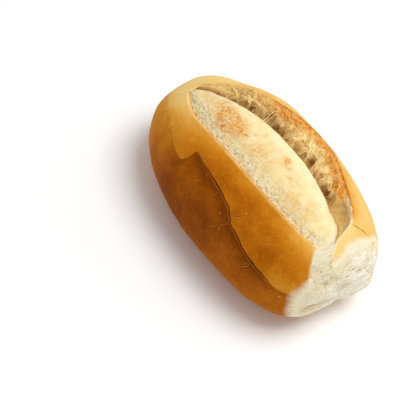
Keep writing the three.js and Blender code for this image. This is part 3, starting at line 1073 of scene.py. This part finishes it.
STRANDS = [
    # on the dome, on the wall (mm along, degrees), thickness and bow in mm
    ((-11.6, 2.2), (-18.2, 22.8), 0.4, 0.6), ((-10.8, 2.6), (-16, 24), 0.28, 0.8),
    ((-32.3, -5.6), (-37.5, 8.2), 0.3, 0.3), ((-31.6, -5), (-35.5, 8.6), 0.2, 0.4),
    ((20.2, 5.6), (13, 29), 0.3, 0.6), ((21.6, 6), (16.5, 26.3), 0.34, 0.5),
    ((24.6, 6), (18.4, 26.8), 0.24, 0.6), ((20.6, 5.8), (17.4, 28), 0.2, 0.9),
]
noise.seed_set(SHAKE_SEED)
pieces = [strand(*facts) for facts in STRANDS]
bpy.ops.object.select_all(action="DESELECT")
for piece in pieces:
    piece.select_set(True)
bpy.context.view_layer.objects.active = pieces[0]
bpy.ops.object.convert(target="MESH")
bpy.ops.object.join()
threads = named("crumb_threads")
print("strands:", len(STRANDS), "with", len(threads.data.polygons), "faces")

# %% [markdown]
# ## Finishes
#
# Bread has no shine worth speaking of, but plenty of tone. Each finish is built from numbers that
# the mesh carries and from noise in Object coordinates, so its grain has a true size. A small
# recipe class keeps the node work short: it adds nodes, links what is a socket and sets what is a
# number. Colours are written as they look on a screen, from 0 to 255.


# %% Recipe for a finish
def screen(red, green, blue):
    """A linear colour from one as it looks on a screen."""
    parts = [c / 255 for c in (red, green, blue)]
    return (*(c / 12.92 if c <= 0.04045 else ((c + 0.055) / 1.055) ** 2.4 for c in parts), 1)


class Recipe:
    def __init__(self, name, shine, roughness):
        self.material = bpy.data.materials.new(name)
        self.material.use_nodes = True
        self.tree = self.material.node_tree
        self.shader = self.tree.nodes["Principled BSDF"]
        self.shader.inputs["Specular IOR Level"].default_value = shine
        self.shader.inputs["Roughness"].default_value = roughness
        self.object_place = self.node("TexCoord").outputs["Object"]

    def node(self, kind, inputs=(), **settings):
        made = self.tree.nodes.new("ShaderNode" + kind)
        for key, value in settings.items():
            setattr(made, key, value)
        for key, value in dict(inputs).items():
            self.feed(made.inputs[key], value)
        return made

    def feed(self, socket, value):
        if isinstance(value, bpy.types.NodeSocket):
            self.tree.links.new(value, socket)
        else:
            socket.default_value = value

    def number(self, name):
        return self.node("Attribute", attribute_name=name).outputs["Fac"]

    def grain(self, size, detail=2.0, seed=0.0, stretch=(1, 1, 1)):
        """Noise from 0 to 1 with lumps of size mm, longer along an axis where stretch is over 1."""
        scale = [1000 / size / s for s in stretch]
        place = self.node("Mapping", {"Vector": self.object_place, "Scale": scale,
                                      "Location": (seed, seed * 0.7, -seed)}).outputs["Vector"]
        noise_inputs = {"Vector": place, "Scale": 1.0, "Detail": detail}
        return self.node("TexNoise", noise_inputs).outputs["Fac"]

    def maths(self, operation, first, second=0.0, clamp=False):
        return self.node("Math", {0: first, 1: second}, operation=operation,
                         use_clamp=clamp).outputs[0]

    def stretched(self, value, low, high, to_low=0.0, to_high=1.0):
        return self.node("MapRange", {"Value": value, "From Min": low, "From Max": high,
                                      "To Min": to_low, "To Max": to_high}).outputs["Result"]

    def shades(self, value, stops):
        made = self.node("ValToRGB", {"Fac": value})
        marks = made.color_ramp.elements
        while len(marks) < len(stops):
            marks.new(0.5)
        for mark, (place, colour) in zip(marks, stops):
            mark.position, mark.color = place, screen(*colour)
        return made.outputs["Color"]

    def blend(self, share, under, over):
        """One colour laid over another where share, 0 to 1, says so."""
        over = screen(*over) if isinstance(over, tuple) else over
        return self.node("Mix", {0: share, 6: under, 7: over}, data_type="RGBA").outputs[2]

    def layers(self, colour, *layers):
        """Colours laid over one another, each (number on the mesh, strength, colour)."""
        for name, strength, over in layers:
            share = self.maths("MULTIPLY", self.number(name), strength, clamp=True)
            colour = self.blend(share, colour, over)
        return colour

    def relief(self, height, depth, under=None):
        """Bump of depth mm, over an earlier bump."""
        inputs = {"Height": height, "Distance": depth * MM, "Strength": 1.0}
        if under is not None:
            inputs["Normal"] = under
        return self.node("Bump", inputs).outputs["Normal"]

    def crumbly(self, *levels):
        """Bumps over bumps, each (grain as in grain(), depth in mm)."""
        normal = None
        for grain, depth in levels:
            normal = self.relief(self.grain(*grain), depth, normal)
        return normal

    def done(self, colour, normal):
        self.feed(self.shader.inputs["Base Color"], colour)
        self.feed(self.shader.inputs["Normal"], normal)
        return self.material


# %% [markdown]
# The crust's colour is one ramp from cream over gold to dark brown, read at the stored tone. Fine
# noise moves the tone a little up and down, because real crust is mottled in spots of half a
# millimetre to three. Hairline crackle, cracks darkened with painted shade, lips and seams paled
# with a painted highlight, and the floury torn edge go over it.

# %% Finish of the crust
recipe = Recipe("crust_finish", 0.02, 0.5)
tone = recipe.number("tone")
for size, strength, seed in ((7, 0.08, 1), (2.2, 0.07, 2), (0.7, 0.06, 3)):
    blotches = recipe.grain(size, 2.0, seed)
    blotches = recipe.stretched(blotches, 0.25, 0.75, -strength / 2, strength / 2)
    tone = recipe.maths("ADD", tone, blotches, clamp=True)
BROWNING = [
    (0.0, (240, 218, 162)), (0.15, (239, 205, 132)), (0.3, (235, 186, 99)),
    (0.45, (224, 158, 60)), (0.6, (206, 132, 30)), (0.72, (189, 109, 14)),
    (0.85, (160, 83, 6)), (1.0, (122, 58, 4)),
]
# lip is a painted highlight on crack lips and seams, and crack is painted shade in their grooves.
colour = recipe.layers(
    recipe.shades(tone, BROWNING),
    ("lip", 0.6, (234, 158, 62)), ("rim", 0.68, (250, 206, 128)), ("crack", 1.0, (92, 32, 4)),
)
uneven = recipe.stretched(recipe.grain(1.6, 3.0, 5), 0.3, 0.7, 0.8, 1.2)
torn_edge = recipe.stretched(recipe.maths("MULTIPLY", recipe.number("pale"), uneven), 0.1, 0.75)
colour = recipe.blend(torn_edge, colour, (238, 226, 194))
specks = recipe.stretched(recipe.grain(1.2, 0.0, 8), 0.79, 0.84)
colour = recipe.blend(recipe.maths("MULTIPLY", specks, 0.38), colour, (240, 180, 92))
normal = recipe.crumbly(((0.55, 3.0, 6), 0.1), ((1.9, 3.0, 7), 0.22))
finish_piece(crust, recipe.done(colour, recipe.relief(specks, 0.07, normal)))

# %% [markdown]
# Crumb is off-white, with a yellow cast in its hollows, where light bounces between grains. The
# dome's tones come from its stored toast and pores, with painted shade on its side by the crevice,
# and its skin is wrinkled where it toasted. A grain of a few tenths of a millimetre makes it look
# floury rather than like plaster. At the near end it takes the colours of the torn end, which
# follow the ledges and their fine fibres, with painted shade between them.

# %% Finish of the risen crumb
# The low, darker end of this ramp is painted shade in the valleys between ledges.
TORN_COLOURS = [
    (0.25, (208, 184, 138)), (0.45, (228, 213, 180)), (0.62, (239, 230, 206)),
    (0.85, (246, 241, 226)),
]
CRUMB_COLOURS = [(0.3, (238, 208, 140)), (0.52, (243, 222, 162)), (0.72, (247, 232, 184))]
PORE_COLOURS = [(0.38, (192, 176, 140)), (0.5, (226, 217, 193)), (0.6, (250, 247, 234))]


def torn_colour(recipe):
    """Pale colour that follows the ledges of torn crumb and its fine fibres, with painted shade in
    the low places between ledges and in streaks between fibres.
    """
    fibres = recipe.grain(2.4, 4.0, 31, (1, 2.4, 1))
    tone = recipe.maths("ADD", recipe.maths("MULTIPLY", recipe.number("ledge"), 0.7),
                        recipe.maths("MULTIPLY", fibres, 0.55))
    colour = recipe.layers(recipe.shades(tone, TORN_COLOURS), ("cream", 0.75, (222, 208, 166)))
    streak_shade = recipe.stretched(recipe.grain(1.1, 3.0, 35, (1, 3.6, 1)), 0.52, 0.7, 0.0, 0.45)
    return recipe.blend(streak_shade, colour, (198, 176, 142))


recipe = Recipe("crumb_finish", 0.08, 0.75)
colour = recipe.layers(
    recipe.shades(recipe.grain(4.2, 3.0, 11), CRUMB_COLOURS),
    ("clean", 0.65, (250, 236, 190)),
    ("pore", 0.85, recipe.shades(recipe.grain(1.3, 2.5, 16), PORE_COLOURS)),
)
sandy = recipe.stretched(recipe.grain(0.9, 4.0, 12), 0.42, 0.7)
toast = recipe.maths("ADD", recipe.number("toast"), recipe.maths("MULTIPLY", sandy, 0.16))
speck = recipe.stretched(recipe.grain(1.3, 4.0, 15), 0.3, 0.68, 0.35, 1.1)
toasted = recipe.maths("MULTIPLY", toast, speck, clamp=True)
colour = recipe.blend(toasted, colour, (226, 158, 62))
waves = recipe.maths("ABSOLUTE", recipe.maths("SUBTRACT", recipe.grain(2.8, 3.0, 17), 0.5))
lines = recipe.stretched(waves, 0.0, 0.045, 0.9, 0.0)
wrinkle = recipe.maths("MULTIPLY", lines, recipe.number("toast"), clamp=True)
colour = recipe.blend(wrinkle, colour, (196, 122, 40))
colour = recipe.layers(colour, ("white", 1.0, torn_colour(recipe)), ("shade", 0.7, (176, 118, 50)))
normal = recipe.crumbly(((0.35, 3.0, 13), 0.09), ((1.2, 4.0, 14), 0.2))
finish_piece(dome, recipe.done(colour, normal))

# %% [markdown]
# The torn wall runs from painted deep-brown shade at the bottom of the crevice, over tan cells with
# painted shade in them and pale membranes, to the orange rope under the ear, whose very edge is as
# brown as the crust's cut.

# %% Finish of the torn wall
recipe = Recipe("torn_crumb_finish", 0.08, 0.75)
WALL_COLOURS = [(0.3, (214, 170, 96)), (0.5, (226, 188, 116)), (0.72, (238, 208, 142))]
# pocket and depth lay painted shade into the cells, the crevice and the ear's shadow.
colour = recipe.layers(
    recipe.shades(recipe.grain(1.8, 4.0, 21), WALL_COLOURS),
    ("pocket", 0.8, (180, 130, 62)), ("membrane", 0.8, (250, 222, 158)),
    ("depth", 0.68, (132, 86, 32)),
)
burnt = recipe.stretched(recipe.grain(1.3, 3.0, 22), 0.3, 0.7, 0.5, 1.0)
colour = recipe.layers(
    colour,
    ("toast", burnt, (232, 158, 64)), ("tiny", 0.6, (212, 126, 40)),
    ("white", 1.0, (240, 222, 180)), ("edge", 0.8, (168, 90, 28)),
)
normal = recipe.crumbly(((0.4, 3.0, 23), 0.1), ((1.1, 4.0, 24), 0.25))
finish_piece(wall, recipe.done(colour, normal))

# %% [markdown]
# The strands are the same crumb as the wall, stretched thin and a little paler.

# %% Finish of the strands
recipe = Recipe("thread_finish", 0.08, 0.7)
THREAD_COLOURS = [(0.3, (220, 178, 108)), (0.7, (242, 214, 158))]
colour = recipe.shades(recipe.grain(1.0, 3.0, 25), THREAD_COLOURS)
finish_piece(threads, recipe.done(colour, recipe.crumbly(((0.4, 2.0, 26), 0.08))))

# %% [markdown]
# The torn ends are the whitest crumb of all, with painted shade, darker and yellower, in their
# hollows and holes, and yellower where they thin out over the crust.

# %% Finish of the torn ends
recipe = Recipe("torn_end_finish", 0.06, 0.8)
# hole lays painted shade into the holes.
colour = recipe.layers(
    torn_colour(recipe), ("edge", 0.35, (232, 206, 150)), ("hole_shade", 0.7, (158, 116, 64))
)
normal = recipe.crumbly(((0.4, 3.0, 32), 0.1), ((1.3, 4.0, 33, (1, 2.2, 1)), 0.3))
torn_end_finish = recipe.done(colour, normal)
for piece in (near_end, far_end):
    finish_piece(piece, torn_end_finish)

# %% [markdown]
# ## Floor, light and camera
#
# The picture is a plain product shot: a near-white floor, one large soft light above and behind the
# ear, and pale light from all round.

# %% Floor and light
bpy.ops.object.select_all(action="DESELECT")
bpy.ops.mesh.primitive_plane_add(size=4, location=(0, 0, -0.0002))
floor = named("floor")
recipe = Recipe("floor_finish", 0.0, 0.9)
recipe.shader.inputs["Base Color"].default_value = screen(250, 250, 250)
floor.data.materials.append(recipe.material)
floor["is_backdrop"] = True


def soft_light(name, place, size, power):
    """A square area light at a place in metres, facing the roll."""
    bpy.ops.object.light_add(type="AREA", location=place)
    lamp = bpy.context.object
    lamp.name = name
    lamp.data.size = size
    lamp.data.energy = power
    lamp.rotation_euler = Vector(place).to_track_quat("Z", "Y").to_euler()


KEY_PLACE, KEY_SIZE, KEY_POWER = (0.18, 0.24, 0.95), 0.6, 6.6  # metres, metres, watts
SKY = 0.55  # strength of the pale light from all round
soft_light("key_light", KEY_PLACE, KEY_SIZE, KEY_POWER)
world = bpy.data.worlds.new("studio")
world.use_nodes = True
world.node_tree.nodes["Background"].inputs["Color"].default_value = (1, 1, 1, 1)
world.node_tree.nodes["Background"].inputs["Strength"].default_value = SKY
bpy.context.scene.world = world
bpy.context.scene.view_settings.view_transform = "Standard"

# %% [markdown]
# The camera looks down at the torn end from the left. Its place and turn come from fitting the
# loaf's outline to the picture.

# %% Camera
CAMERA_PLACE = (0.26593, -0.33404, 0.50792)  # metres
CAMERA_TURN = (38.546, -12.024, 56.195)  # degrees
LENS = 129.157  # mm
camera = bpy.data.objects.new("camera", bpy.data.cameras.new("camera"))
bpy.context.collection.objects.link(camera)
camera.location = CAMERA_PLACE
camera.rotation_euler = [math.radians(a) for a in CAMERA_TURN]
camera.data.lens = LENS
bpy.context.scene.camera = camera

# %% [markdown]
# Last, the box of the plain frame and the box of the dressed roll are printed side by side.

# %% Sizes
visual_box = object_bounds()
for name, box in (("CAD", cad_box), ("visual", visual_box)):
    print(name, "box in mm:", [[round(c / MM, 1) for c in corner] for corner in box])
